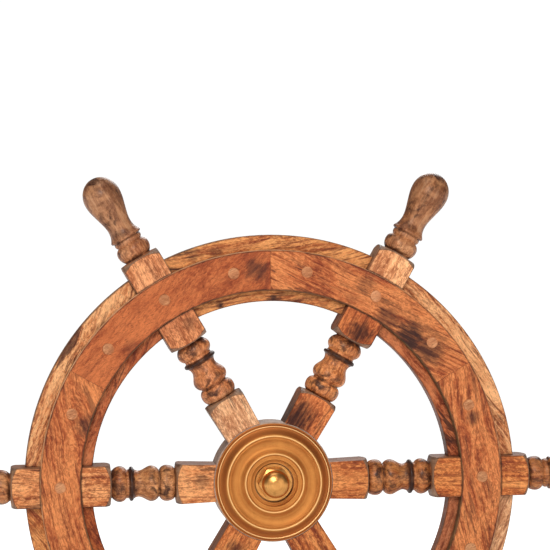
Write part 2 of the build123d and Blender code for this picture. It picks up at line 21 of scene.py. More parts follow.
# ------------------------------------------------------------------ node helpers
class Mat:
    """A small wrapper that keeps node trees short to write."""

    def __init__(self, name):
        self.m = bpy.data.materials.new(name)
        self.m.use_nodes = True
        self.t = self.m.node_tree
        self.t.nodes.clear()
        self.out = self.t.nodes.new("ShaderNodeOutputMaterial")
        self.b = self.t.nodes.new("ShaderNodeBsdfPrincipled")
        self.t.links.new(self.b.outputs[0], self.out.inputs[0])
        self.P = self.t.nodes.new("ShaderNodeTexCoord").outputs["Object"]

    def put(self, socket, value):
        if isinstance(value, bpy.types.NodeSocket):
            self.t.links.new(value, socket)
        elif value is not None:
            if hasattr(socket.default_value, "__len__") and not hasattr(value, "__len__"):
                value = [value] * len(socket.default_value)
            if hasattr(value, "__len__") and len(value) == 3 and len(socket.default_value) == 4:
                value = (*value, 1.0)
            socket.default_value = value

    def math(self, op, a, b=None, c=None, clamp=False):
        n = self.t.nodes.new("ShaderNodeMath")
        n.operation = op
        n.use_clamp = clamp
        self.put(n.inputs[0], a)
        if b is not None:
            self.put(n.inputs[1], b)
        if c is not None:
            self.put(n.inputs[2], c)
        return n.outputs[0]

    def dot(self, vec, const):
        n = self.t.nodes.new("ShaderNodeVectorMath")
        n.operation = "DOT_PRODUCT"
        self.put(n.inputs[0], vec)
        n.inputs[1].default_value = const
        return n.outputs["Value"]

    def sub(self, vec, const):
        n = self.t.nodes.new("ShaderNodeVectorMath")
        n.operation = "SUBTRACT"
        self.put(n.inputs[0], vec)
        self.put(n.inputs[1], const)
        return n.outputs[0]

    def xyz(self, x, y, z):
        n = self.t.nodes.new("ShaderNodeCombineXYZ")
        for s, v in zip(n.inputs, (x, y, z)):
            self.put(s, v)
        return n.outputs[0]

    def split(self, vec):
        n = self.t.nodes.new("ShaderNodeSeparateXYZ")
        self.put(n.inputs[0], vec)
        return n.outputs

    def scale(self, x, k, add=0.0):
        return self.math("MULTIPLY_ADD", x, k, add)

    def noise(self, vec, detail=2.0, rough=0.5, dist=0.0, scale=1.0, dims="3D", w=None):
        n = self.t.nodes.new("ShaderNodeTexNoise")
        n.noise_dimensions = dims
        n.inputs["Scale"].default_value = scale
        n.inputs["Detail"].default_value = detail
        n.inputs["Roughness"].default_value = rough
        n.inputs["Distortion"].default_value = dist
        if vec is not None:
            self.put(n.inputs["Vector"], vec)
        if w is not None:
            self.put(n.inputs["W"], w)
        return n.outputs["Fac"]

    def ramp(self, fac, stops, interp="LINEAR"):
        n = self.t.nodes.new("ShaderNodeValToRGB")
        n.color_ramp.interpolation = interp
        e = n.color_ramp.elements
        while len(e) > 1:
            e.remove(e[-1])
        e[0].position = stops[0][0]
        for pos, _ in stops[1:]:
            e.new(pos)
        for el, (_, col) in zip(e, stops):
            if not hasattr(col, "__len__"):
                col = (col, col, col)
            el.color = (*col, 1.0) if len(col) == 3 else col
        self.put(n.inputs[0], fac)
        return n.outputs[0]

    def step(self, x, lo, hi, smooth=True):
        """0 below lo, 1 above hi (or the reverse when lo > hi)."""
        n = self.t.nodes.new("ShaderNodeMapRange")
        n.interpolation_type = "SMOOTHSTEP" if smooth else "LINEAR"
        n.clamp = True
        self.put(n.inputs[0], x)
        n.inputs[1].default_value = min(lo, hi)
        n.inputs[2].default_value = max(lo, hi)
        n.inputs[3].default_value = 0.0 if lo < hi else 1.0
        n.inputs[4].default_value = 1.0 if lo < hi else 0.0
        return n.outputs[0]

    def mix(self, fac, a, b, blend="MIX"):
        n = self.t.nodes.new("ShaderNodeMix")
        n.data_type = "RGBA"
        n.blend_type = blend
        n.clamp_factor = True
        self.put(n.inputs[0], fac)
        self.put(n.inputs[6], a)
        self.put(n.inputs[7], b)
        return n.outputs[2]

    def bump(self, height, strength, distance, normal=None):
        n = self.t.nodes.new("ShaderNodeBump")
        n.inputs["Strength"].default_value = strength
        n.inputs["Distance"].default_value = distance
        self.put(n.inputs["Height"], height)
        if normal is not None:
            self.put(n.inputs["Normal"], normal)
        return n.outputs[0]


def wear(ob, mat):
    """Give a CAD node or a piece one material in every slot."""
    if not ob.data.materials:
        ob.data.materials.append(mat)
    for s in ob.material_slots:
        s.material = mat


# ------------------------------------------------------------------ wood
# Every board is cut from a log of its own: the growth rings are cylinders
# about a pith line beside the board, so faces, sides and ends agree.
def wood(name, grain, across, centre, seed, light, mid, deep, streak=(0.045, 0.011, 0.006),
         lines=0.5, speckle=0.5, swirl=0.5, streak_amt=0.6, streak_cut=0.56, pith=(0.045, 0.03), tilt=0.10,
         warp=0.010, burns=(), extra=None, rough=0.52, ring_freq=150.0, gain=1.0):
    m = Mat(name)
    q = m.sub(m.P, centre)
    u, v, w = m.dot(q, grain), m.dot(q, across), m.dot(q, (0.0, 1.0, 0.0))
    off = (seed * 1.731) % 7.0
    # slow wander of the grain along the board
    bend = m.noise(m.xyz(m.scale(u, 9.0, off * 3.1), m.scale(v, 14.0, off), m.scale(w, 14.0, off * 1.7)),
                   detail=2.0, rough=0.45)
    bend = m.scale(bend, 2.0 * warp, -warp)
    vv = m.math("ADD", m.math("ADD", v, m.scale(u, tilt)), bend)
    # growth rings about the pith line
    pv = m.scale(vv, 1.0, pith[0])
    pw = m.scale(w, 1.0, pith[1])
    rho = m.math("SQRT", m.math("ADD", m.math("MULTIPLY", pv, pv), m.math("MULTIPLY", pw, pw)))
    rings = m.noise(None, detail=4.0, rough=0.65, dims="1D", w=m.scale(rho, ring_freq, off * 5.0))
    # broad changes of tone
    tone = m.noise(m.xyz(m.scale(u, 16.0, off), m.scale(vv, 46.0, off * 2.0), m.scale(w, 46.0, 1.0)),
                   detail=4.0, rough=0.6, dist=0.5)
    tone = m.math("ADD", m.scale(tone, 1.0, -0.12), m.scale(rings, 0.34, -0.05))
    # curled figure: short wavy flecks that run across the fibres here and there
    curl = m.noise(m.xyz(m.scale(u, 105.0, off * 1.3), m.scale(vv, 190.0, off), m.scale(w, 190.0)),
                   detail=4.0, rough=0.66, dist=1.6)
    tone = m.math("ADD", tone, m.scale(curl, 0.75 * swirl, -0.375 * swirl))
    col = m.ramp(tone, [(0.31, deep), (0.44, mid), (0.56, light), (0.74, tuple(min(1.0, c * 1.12) for c in light))])
    # broad stain, a few centimetres across
    stain = m.noise(m.xyz(m.scale(u, 26.0, off * 1.9), m.scale(v, 38.0, off * 0.6), m.scale(w, 38.0)), detail=3.0, rough=0.55, dist=0.9)
    col = m.mix(1.0, col, m.ramp(stain, [(0.36, (0.80, 0.70, 0.64)), (0.50, (0.99, 0.97, 0.95)), (0.60, (1.0, 1.0, 1.0))]), "MULTIPLY")
    # long fibre lines, pale and dark
    fib = m.noise(m.xyz(m.scale(u, 20.0, off * 2.3), m.scale(vv, 360.0), m.scale(w, 360.0)), detail=4.0, rough=0.7)
    dark = tuple(c * k for c, k in zip(deep, (0.60, 0.50, 0.50)))
    col = m.mix(m.math("MULTIPLY", m.step(fib, 0.50, 0.66), 0.75 * lines), col, light)
    col = m.mix(m.math("MULTIPLY", m.step(fib, 0.50, 0.34), 0.95 * lines), col, dark)
    # speckle: short dark flecks, about a millimetre across
    sp = m.noise(m.xyz(m.scale(u, 230.0, off), m.scale(vv, 470.0, 2.0), m.scale(w, 470.0)), detail=3.0, rough=0.75, dist=0.5)
    spg = m.noise(m.xyz(m.scale(u, 26.0, off * 3.0), m.scale(v, 60.0, off), m.scale(w, 60.0)), detail=2.0)
    col = m.mix(m.math("MULTIPLY", m.math("MULTIPLY", m.step(sp, 0.46, 0.60), m.scale(m.step(spg, 0.30, 0.62), 0.72, 0.28)),
                       1.15 * speckle, clamp=True), col, dark)
    col = m.mix(m.math("MULTIPLY", m.step(sp, 0.48, 0.36), 0.80 * speckle), col, tuple(min(1.0, c * 1.22) for c in light))
    # dark heartwood streaks
    st = m.noise(m.xyz(m.scale(u, 24.0, off * 4.0), m.scale(vv, 190.0, off), m.scale(w, 150.0)), detail=5.0, rough=0.66, dist=0.35)
    gate = m.noise(m.xyz(m.scale(u, 13.0, off * 0.7), m.scale(v, 24.0, off * 5.0), m.scale(w, 24.0)), detail=2.0)
    st = m.math("MULTIPLY", m.step(st, streak_cut, streak_cut + 0.10), m.step(gate, 0.42, 0.60))
    col = m.mix(m.math("MULTIPLY", st, streak_amt), col, streak)
    # open pores: short dark dashes that only show close up
    pores = m.noise(m.xyz(m.scale(u, 260.0, off), m.scale(v, 1250.0), m.scale(w, 1250.0)), detail=1.0, rough=0.6)
    pmask = m.step(pores, 0.60, 0.70)
    col = m.mix(m.math("MULTIPLY", pmask, 0.5), col, (streak[0] * 1.4, streak[1] * 1.4, streak[2] * 1.4))
    fine = m.noise(m.xyz(m.scale(u, 420.0), m.scale(v, 2300.0), m.scale(w, 2300.0)), detail=2.0, rough=0.7)
    col = m.mix(0.30, col, m.ramp(fine, [(0.30, 0.25), (0.5, 0.5), (0.70, 0.78)]), "OVERLAY")
    if gain != 1.0:
        col = m.mix(1.0, col, (gain, gain, gain), "MULTIPLY")
    # scorched patches where the cutter or lathe burned the wood
    if burns:
        rag = m.noise(m.xyz(m.scale(u, 110.0, off), m.scale(vv, 260.0), m.scale(w, 160.0)), detail=4.0, rough=0.7)
        burn = None
        for bx, bz, br, amt in burns:
            d = m.sub(m.P, (bx, MID, bz))
            dx, _, dz = m.split(d)
            dist = m.math("SQRT", m.math("ADD", m.math("MULTIPLY", dx, dx), m.math("MULTIPLY", dz, dz)))
            dist = m.math("ADD", dist, m.scale(rag, br * 1.7, -br * 0.85))
            b = m.math("MULTIPLY", m.step(dist, br * 1.15, br * 0.25), amt)
            burn = b if burn is None else m.math("MAXIMUM", burn, b)
        burn = m.math("MULTIPLY", burn, m.scale(m.step(fib, 0.62, 0.42), 0.24, 0.76))
        col = m.mix(burn, col, (0.040, 0.011, 0.007))
    height = m.math("SUBTRACT", m.scale(fib, 0.6), m.scale(pmask, 0.8))
    rgh = m.math("ADD", m.scale(fib, -0.14, rough + 0.07), m.scale(pmask, 0.18))
    if extra is not None:
        col, rgh, height = extra(m, u, v, w, col, rgh, height)
    m.put(m.b.inputs["Base Color"], col)
    m.put(m.b.inputs["Roughness"], m.math("MINIMUM", rgh, 0.95))
    m.b.inputs["Specular IOR Level"].default_value = 0.22
    m.put(m.b.inputs["Normal"], m.bump(height, 0.5, 0.00022))
    return m.m


def radius(m):
    x, _, z = m.split(m.P)
    return m.math("SQRT", m.math("ADD", m.math("MULTIPLY", x, x), m.math("MULTIPLY", z, z)))


# Mixes col towards a darker colour under a mask: used for real dirt and dark joints, and also for painted shade and
# painted sheen.
def dirt_and_painted_shade(m, mask, col, amt, shade=(0.030, 0.011, 0.007)):
    return m.mix(m.math("MULTIPLY", mask, amt), col, shade)


def ragged(m, scale=90.0, lo=0.35, hi=0.65):
    return m.step(m.noise(m.P, detail=3.0, rough=0.6, scale=scale), lo, hi)


def bung_local(m):
    """Distance from the nearest bung's centre, and that bung's number, round the wheel."""
    x, _, z = m.split(m.P)
    t = m.math("DIVIDE", m.math("ARCTAN2", z, x), math.radians(20.0))
    n = m.math("ROUND", t)
    arc = m.scale(m.math("SUBTRACT", t, n), math.radians(20.0) * 0.1841)
    dr = m.scale(radius(m), 1.0, -0.1841)
    return m.math("SQRT", m.math("ADD", m.math("MULTIPLY", arc, arc), m.math("MULTIPLY", dr, dr))), n


def bung_line(m, d, lo=0.44, hi=0.62):
    """A thin broken line of dirt round a bung."""
    line = m.math("MULTIPLY", m.step(d, 0.00445, 0.00492), m.step(d, 0.0056, 0.00508))
    return m.math("MULTIPLY", line, ragged(m, 170.0, lo, hi))


# ---- rim boards
def ring_extra(front):
    def f(m, u, v, w, col, rgh, height):
        r = radius(m)
        _, y, _ = m.split(m.P)
        rag = m.scale(ragged(m, 150.0), 0.60, 0.40)
        # painted light and shade: the outer wall is painted pale as if lit, the inner wall is painted dark olive as if
        # shaded
        pale = m.ramp(m.noise(m.P, detail=3.0, rough=0.6, scale=130.0), [(0.35, (0.50, 0.27, 0.125)), (0.65, (0.76, 0.48, 0.27))])
        col = m.mix(m.math("MULTIPLY", m.step(r, 0.20060, 0.20105), 0.92), col, pale)
        painted_shade_wall = m.ramp(m.noise(m.P, detail=3.0, rough=0.6, scale=120.0), [(0.38, (0.060, 0.036, 0.016)), (0.64, (0.160, 0.100, 0.045))])
        col = m.mix(m.math("MULTIPLY", m.step(r, 0.16700, 0.16640), 0.9), col, painted_shade_wall)
        # painted shade: a dark line on the arrises and in the corner behind them
        arris_shade = m.math("MAXIMUM", m.math("MULTIPLY", m.step(r, 0.1994, 0.2001), m.step(r, 0.2009, 0.2004)),
                       m.math("MULTIPLY", m.step(r, 0.1679, 0.1672), m.step(r, 0.1664, 0.1669)))
        col = dirt_and_painted_shade(m, m.math("MULTIPLY", arris_shade, rag), col, 0.78)
        # butt joints at the ends of the board
        ang = m.math("ARCTAN2", m.math("ABSOLUTE", u), m.scale(v, 1.0, 0.1836))
        arc = m.math("MULTIPLY", m.math("SUBTRACT", math.radians(30.0), ang), r)
        col = dirt_and_painted_shade(m, m.math("MULTIPLY", m.step(arc, 0.0007, 0.0001), rag), col, 0.16)
        d, _ = bung_local(m)
        col = dirt_and_painted_shade(m, bung_line(m, d), col, 0.62, (0.045, 0.016, 0.009))
        return col, rgh, height
    return f


def felloe_extra(m, u, v, w, col, rgh, height):
    r = radius(m)
    side = m.step(m.math("ABSOLUTE", m.split(m.P)[0]), 0.055, 0.085)
    inside = m.math("MULTIPLY", m.step(r, 0.1700, 0.1660), m.scale(side, 0.80, 0.20))
    col = m.mix(inside, col, m.mix(1.0, col, (0.66, 0.40, 0.32), "MULTIPLY"))
    rag = m.scale(ragged(m, 120.0), 0.45, 0.55)
    # painted shade: the outer and inner walls are darkened as if turned away from the light
    wall_shade = m.math("MAXIMUM", m.step(r, 0.2128, 0.2141), m.step(r, 0.1580, 0.1567))
    col = dirt_and_painted_shade(m, m.math("MULTIPLY", wall_shade, rag), col, 0.72, (0.075, 0.038, 0.022))
    # painted shade in the corner against the face rings
    corner_shade = m.math("MAXIMUM", m.scale(m.math("MULTIPLY", m.step(r, 0.2020, 0.2013), m.step(r, 0.1990, 0.2000)), 0.35),
                    m.math("MULTIPLY", m.step(r, 0.1650, 0.1660), m.step(r, 0.1680, 0.1670)))
    col = dirt_and_painted_shade(m, m.math("MULTIPLY", corner_shade, rag), col, 0.70)
    # and painted shade in the corner against the spokes' cheeks
    a = m.math("ABSOLUTE", u)
    d = m.math("SUBTRACT", m.math("SUBTRACT", m.math("MULTIPLY", m.scale(v, 1.0, 0.1854), 0.57735), a), 0.0203)
    col = dirt_and_painted_shade(m, m.math("MULTIPLY", m.step(d, 0.0018, 0.0001), rag), col, 0.85)
    return col, rgh, height


def spoke_extra_for(tones, shade_side):
    """tones: tint along the spoke, (distance in mm, colour factor); the second argument: the side of the turned parts
    painted darker as shade, +1 or -1.
    """
    def f(m, u, v, w, col, rgh, height):
        s = m.scale(u, 1.0, 0.170)                  # distance from the wheel's axis
        rag = m.noise(m.xyz(m.scale(u, 60.0), m.scale(v, 130.0), m.scale(w, 130.0)), detail=4.0, rough=0.7)
        rag = m.step(rag, 0.36, 0.60)
        t = m.ramp(m.scale(s, 1.0 / 0.305), [(x / 305.0, tuple(c / 2.0 for c in k)) for x, k in tones])
        col = m.mix(1.0, m.mix(1.0, col, t, "MULTIPLY"), (2.0, 2.0, 2.0), "MULTIPLY")
        # turned parts: oiled brown, scorched in blotches where the lathe rubbed, and painted shade in the hollows
        # between the beads
        turned = m.math("MAXIMUM", m.step(s, 0.2262, 0.2270),
                        m.math("MULTIPLY", m.step(s, 0.0840, 0.0848), m.step(s, 0.1402, 0.1396)))
        blot = m.noise(m.xyz(m.scale(u, 75.0, 3.0), m.scale(v, 62.0), m.scale(w, 62.0)), detail=4.0, rough=0.62, dist=0.9)
        worn = m.mix(m.step(blot, 0.36, 0.58), (0.120, 0.042, 0.015), (0.500, 0.235, 0.105))
        long = m.noise(m.xyz(m.scale(u, 22.0, 5.0), m.scale(v, 230.0), m.scale(w, 230.0)), detail=4.0, rough=0.68, dist=0.2)
        worn = m.mix(m.math("MULTIPLY", m.step(long, 0.54, 0.40), 0.75), worn, (0.085, 0.028, 0.011))
        worn = m.mix(m.math("MULTIPLY", m.step(long, 0.54, 0.68), 0.55), worn, (0.640, 0.370, 0.200))
        # painted shade: one side of the turned parts is darkened, as if turned away from the light
        worn = m.mix(m.math("MULTIPLY", m.step(m.scale(v, shade_side), 0.0060, 0.0150), 0.60), worn, (0.060, 0.022, 0.012))
        grip = m.step(s, 0.2490, 0.2530)
        col = m.mix(m.math("MULTIPLY", turned, m.scale(grip, 0.25, 0.30)), col, worn)
        # scorch marks along the turning, raised in the hollows between the beads as painted shade
        scorch_and_shade_stops = [(0, .0), (82, .0), (83.6, .05), (84.6, .60), (86, .12), (88.5, .28), (91.5, .58), (94.5, .56), (97.2, .48), (98.3, .95),
                 (99.4, .36), (101.5, .60), (105, .62), (108, .40), (112, .20), (116.5, .20), (119.4, .48), (120.5, 1.1), (124.0, 1.1),
                 (124.9, .50), (126.4, .12), (128.6, .26), (132.5, .50), (136.0, .60), (139.0, .78), (140.0, .88), (141.5, .10),
                 (145, .0), (225.6, .0), (226.6, 1.0), (228.0, .55), (231, .42)]
        scorch_and_shade_stops2 = [(228, .55), (231, .42), (235, .38), (238.6, .48), (240.8, .45), (243.5, .22), (245.2, .55), (245.9, 1.05), (246.5, .60),
                  (248.0, .35), (251, .30), (257, .34), (264, .26), (276, .28), (290, .30), (300, .42), (305, .52)]
        a = m.ramp(m.scale(s, 1.0 / 0.305), [(x / 305.0, y / 1.2) for x, y in scorch_and_shade_stops])
        b = m.ramp(m.scale(s, 1.0 / 0.305), [(x / 305.0, y / 1.2) for x, y in scorch_and_shade_stops2])
        scorch_and_shade = m.math("MULTIPLY", m.mix(m.step(s, 0.2300, 0.2308), a, b), 1.2)
        blob = m.noise(m.xyz(m.scale(u, 95.0, 7.0), m.scale(v, 82.0), m.scale(w, 82.0)), detail=5.0, rough=0.66, dist=0.7)
        scorch_and_shade = m.math("ADD", scorch_and_shade, m.scale(blob, 2.9, -1.50))
        scorch_and_shade = m.step(scorch_and_shade, 0.28, 0.86, smooth=True)
        scorch_and_shade = m.math("MULTIPLY", scorch_and_shade, turned)
        col = m.mix(m.math("MULTIPLY", scorch_and_shade, m.scale(rag, 0.24, 0.70)), col, (0.040, 0.012, 0.007))
        # the dark ring and the grooves are always dark
        line = m.ramp(m.scale(s, 1.0 / 0.305), [(x / 305.0, y) for x, y in
                      [(0, .0), (84.0, .0), (84.6, .7), (85.4, .0), (97.4, .0), (98.2, .9), (99.1, .0), (120.2, .0), (121.2, .80), (123.6, .80),
                       (124.5, .0), (139.0, .0), (139.6, .8), (140.4, .0), (226.2, .0), (226.8, .9), (227.8, .0), (245.2, .0), (245.8, .95),
                       (246.6, .1), (247.4, .0)]])
        col = dirt_and_painted_shade(m, line, col, 0.90, (0.026, 0.010, 0.007))
        rgh = m.math("SUBTRACT", rgh, m.math("MULTIPLY", turned, 0.15))
        # end shoulders of the square blocks are painted darker grey, as end grain and painted shade, with a dark line
        # of painted shade along the arc
        av, aw = m.math("ABSOLUTE", v), m.math("ABSOLUTE", w)
        rr = m.math("SQRT", m.math("ADD", m.math("MULTIPLY", v, v), m.math("MULTIPLY", w, w)))
        drop = m.math("MULTIPLY", m.math("POWER", m.math("MAXIMUM", m.scale(rr, 1000.0, -17.5), 0.0), 1.41), 0.00030)
        outer = m.math("ADD", s, drop)              # constant along each outer shoulder
        inner = m.math("SUBTRACT", s, drop)
        shoulder_shade = m.math("MULTIPLY", m.step(outer, 0.22525, 0.22575), m.step(s, 0.2262, 0.2258))
        shoulder_shade = m.math("MAXIMUM", shoulder_shade, m.math("MULTIPLY", m.step(outer, 0.08295, 0.08345), m.step(s, 0.0842, 0.0838)))
        shoulder_shade = m.math("MAXIMUM", shoulder_shade, m.math("MULTIPLY", m.step(inner, 0.14115, 0.14065), m.step(s, 0.1398, 0.1402)))
        arc = m.math("MULTIPLY", m.step(outer, 0.22490, 0.22535), m.step(outer, 0.22590, 0.22550))
        arc = m.math("MAXIMUM", arc, m.math("MULTIPLY", m.step(outer, 0.08260, 0.08305), m.step(outer, 0.08360, 0.08320)))
        arc = m.math("MAXIMUM", arc, m.math("MULTIPLY", m.step(inner, 0.14150, 0.14105), m.step(inner, 0.14050, 0.14090)))
        endgrain_and_shade = m.ramp(blob, [(0.35, (0.160, 0.085, 0.048)), (0.65, (0.380, 0.240, 0.155))])
        col = m.mix(m.math("MULTIPLY", shoulder_shade, 0.85), col, endgrain_and_shade)
        col = dirt_and_painted_shade(m, m.math("MULTIPLY", arc, m.scale(rag, 0.45, 0.50)), col, 0.75)
        # painted shade and sheen: the cheeks across the wheel are painted darker grey; the arrises are darkened
        block = m.math("SUBTRACT", 1.0, turned)
        cheek_shade_sheen = m.math("MULTIPLY", m.math("MULTIPLY", m.step(av, 0.0148, 0.0156), m.step(m.math("SUBTRACT", av, aw), -0.0010, 0.0012)), block)
        col = m.mix(m.math("MULTIPLY", cheek_shade_sheen, 0.60), col, m.ramp(blob, [(0.35, (0.062, 0.036, 0.026)), (0.65, (0.190, 0.115, 0.078))]))
        sq = m.math("MULTIPLY", m.step(av, 0.0161, 0.0172), m.step(aw, 0.0161, 0.0172))
        col = dirt_and_painted_shade(m, m.math("MULTIPLY", m.math("MULTIPLY", sq, block), m.scale(rag, 0.35, 0.55)), col, 0.80)
        r = radius(m)
        # painted shade on the blocks next to the face rings' edges, where the rings meet them
        ring_edge_shade = m.math("MAXIMUM", m.math("MULTIPLY", m.step(r, 0.2029, 0.2014), m.step(r, 0.2006, 0.2012)),
                      m.math("MULTIPLY", m.step(r, 0.1645, 0.1659), m.step(r, 0.1668, 0.1662)))
        col = dirt_and_painted_shade(m, m.math("MULTIPLY", ring_edge_shade, m.scale(rag, 0.4, 0.6)), col, 0.85)
        return col, rgh, height
    return f


def nave_extra(m, u, v, w, col, rgh, height):
    r = radius(m)
    # painted light: a grey band round the nave's rim for the sky light it catches
    col = dirt_and_painted_shade(m, m.step(r, 0.0500, 0.0516), col, 0.45, (0.44, 0.37, 0.33))
    return col, rgh, height


def direction(deg):
    a = math.radians(deg)
    return Vector((math.cos(a), 0.0, math.sin(a))), Vector((-math.sin(a), 0.0, math.cos(a)))


ORANGE = dict(light=(0.690, 0.232, 0.072), mid=(0.500, 0.126, 0.034), deep=(0.270, 0.048, 0.013))
REDDISH = dict(light=(0.530, 0.143, 0.041), mid=(0.385, 0.083, 0.021), deep=(0.215, 0.035, 0.010))
TAN = dict(light=(0.760, 0.325, 0.105), mid=(0.545, 0.168, 0.043), deep=(0.270, 0.056, 0.015))
BLOND = dict(light=(0.860, 0.435, 0.190), mid=(0.670, 0.245, 0.082), deep=(0.250, 0.058, 0.020))
PALE = dict(light=(0.800, 0.450, 0.235), mid=(0.640, 0.300, 0.135), deep=(0.400, 0.150, 0.060))
BROWN = dict(light=(0.640, 0.400, 0.260), mid=(0.500, 0.270, 0.150), deep=(0.280, 0.120, 0.060))

# one entry per front board, k = 1..6, centred at 0, 60, 120 ... degrees
front_boards = [
    dict(ORANGE, seed=1.3, lines=0.90, speckle=0.45, swirl=0.7, streak_amt=0.6, streak_cut=0.53, pith=(0.030, 0.024), tilt=0.16,
         warp=0.016, burns=[(0.176, 0.052, 0.008, 0.7)]),
    dict(ORANGE, seed=2.1, lines=1.0, speckle=0.40, swirl=0.45, streak_amt=0.8, streak_cut=0.51, pith=(0.080, 0.050), tilt=0.05,
         warp=0.010, burns=[(0.121, 0.124, 0.0190, 1.0), (0.137, 0.112, 0.018, 0.85), (0.102, 0.139, 0.016, 0.75), (0.084, 0.171, 0.010, 0.55), (0.070, 0.158, 0.007, 0.35)]),
    dict(REDDISH, seed=3.7, lines=0.40, speckle=0.34, swirl=0.62, streak_amt=0.25, streak_cut=0.58, pith=(0.022, 0.035), tilt=0.30,
         warp=0.018, burns=[(-0.012, 0.184, 0.0125, 0.75), (-0.120, 0.118, 0.010, 0.35)]),
    dict(ORANGE, seed=4.9, lines=0.90, speckle=0.45, swirl=0.6, streak_amt=0.5, streak_cut=0.55, pith=(0.035, 0.022), tilt=0.20,
         warp=0.018, burns=[(-0.158, 0.052, 0.013, 0.8)]),
    dict(ORANGE, seed=5.2, lines=0.5, speckle=0.5, swirl=0.5, streak_amt=0.6, streak_cut=0.54, pith=(0.060, 0.030), tilt=0.10,
         warp=0.012, burns=[(-0.06, -0.175, 0.010, 0.6)]),
    dict(REDDISH, seed=6.6, lines=0.4, speckle=0.5, swirl=0.6, streak_amt=0.6, streak_cut=0.55, pith=(0.028, 0.040), tilt=0.18,
         warp=0.015, burns=[(0.118, -0.132, 0.012, 0.7)]),
]
# tint along each spoke: (mm from the axis, colour factor)
spoke_tones = [
    [(60, (1.0, 0.86, 0.76)), (110, (0.85, 0.72, 0.62)), (150, (0.95, 0.76, 0.62)), (225, (1.05, 0.95, 0.85)), (250, (0.68, 0.60, 0.60)), (305, (0.56, 0.52, 0.54))],
    [(60, (0.86, 0.48, 0.27)), (84, (0.94, 0.54, 0.31)), (90, (1.42, 1.02, 0.68)), (132, (1.38, 0.98, 0.64)), (142, (0.80, 0.42, 0.22)),
     (166, (0.84, 0.44, 0.24)), (202, (1.30, 1.22, 1.12)), (225, (1.26, 1.17, 1.06)), (250, (0.62, 0.44, 0.34)), (305, (0.50, 0.37, 0.31))],
    [(60, (1.14, 1.18, 1.22)), (84, (1.10, 1.12, 1.14)), (90, (1.22, 0.86, 0.66)), (132, (1.16, 0.80, 0.60)), (145, (0.92, 0.64, 0.48)), (166, (0.70, 0.41, 0.29)),
     (202, (1.00, 0.76, 0.62)), (225, (1.00, 0.76, 0.62)), (250, (0.62, 0.50, 0.48)), (305, (0.50, 0.42, 0.43))],
    [(60, (0.98, 0.84, 0.72)), (110, (0.85, 0.72, 0.62)), (150, (1.0, 0.84, 0.72)), (225, (1.0, 0.85, 0.74)), (250, (0.68, 0.60, 0.60)), (305, (0.56, 0.52, 0.54))],
    [(60, (0.95, 0.80, 0.70)), (110, (0.80, 0.68, 0.58)), (150, (0.92, 0.72, 0.60)), (225, (1.05, 0.92, 0.80)), (250, (0.72, 0.66, 0.66)), (305, (0.64, 0.58, 0.60))],
    [(60, (0.92, 0.78, 0.68)), (110, (0.84, 0.72, 0.62)), (150, (1.0, 0.86, 0.74)), (225, (1.0, 0.88, 0.76)), (250, (0.70, 0.64, 0.66)), (305, (0.62, 0.58, 0.60))],
]
for k in range(6):
    e, t = direction(60.0 * k)
    kw = dict(front_boards[k])
    wear(nodes[f"front_ring_{k + 1}"], wood(f"wood_front_ring_{k + 1}", t, e, e * 0.1836 + Vector((0, MID, 0)), extra=ring_extra(True), **kw))
    kw = dict(front_boards[(k + 4) % 6])
    kw.update(seed=kw["seed"] + 11.0, burns=[])
    wear(nodes[f"rear_ring_{k + 1}"], wood(f"wood_rear_ring_{k + 1}", t, e, e * 0.1836 + Vector((0, MID, 0)), extra=ring_extra(False), **kw))
    # felloe k+1 lies between spokes k+1 and k+2
    e, t = direction(60.0 * k + 30.0)
    pal = [BLOND, TAN, BLOND, TAN, TAN, PALE][k]
    burns = {0: [(0.155, 0.030, 0.005, 0.6)], 1: [(0.003, 0.1595, 0.0030, 1.0), (-0.043, 0.1535, 0.0038, 1.0), (-0.046, 0.200, 0.007, 0.42),
                                                  (-0.066, 0.195, 0.006, 0.35)], 2: [(-0.150, 0.134, 0.006, 0.4)]}.get(k, [])
    wear(nodes[f"felloe_{k + 1}"], wood(f"wood_felloe_{k + 1}", t, e, e * 0.1854 + Vector((0, MID, 0)), seed=20.3 + 1.9 * k,
                                        lines=0.95, speckle=0.45, swirl=0.80, streak_amt=0.85, streak_cut=0.53, pith=(0.05, 0.02), tilt=0.14,
                                        warp=0.012, burns=burns, extra=felloe_extra, **pal))
    # spoke k+1 at 60k degrees, grain along it
    e, t = direction(60.0 * k)
    pal = [TAN, PALE, PALE, BLOND, TAN, TAN][k]
    burns = {1: [(0.0215, 0.0555, 0.0185, 1.0), (0.0220, 0.0560, 0.0110, 1.0), (0.0255, 0.0625, 0.0120, 0.9), (0.076, 0.128, 0.012, 0.9)], 2: [(-0.071, 0.139, 0.007, 0.5)], 3: [(-0.062, 0.004, 0.008, 0.6)],
             4: [(-0.034, -0.058, 0.010, 0.7)], 5: [(0.075, -0.13, 0.008, 0.6)], 0: [(0.118, 0.004, 0.009, 0.4)]}[k]
    wear(nodes[f"spoke_{k + 1}"], wood(f"wood_spoke_{k + 1}", e, t, e * 0.170 + Vector((0, MID, 0)), seed=40.7 + 2.3 * k,
                                       lines=0.80, speckle=0.55, swirl=0.35, streak_amt=0.75, streak_cut=0.54, pith=(0.020, 0.016), tilt=0.03,
                                       warp=0.006, burns=burns, extra=spoke_extra_for(spoke_tones[k], (1.0, 1.0, -1.0, -1.0, 1.0, -1.0)[k]), **pal))


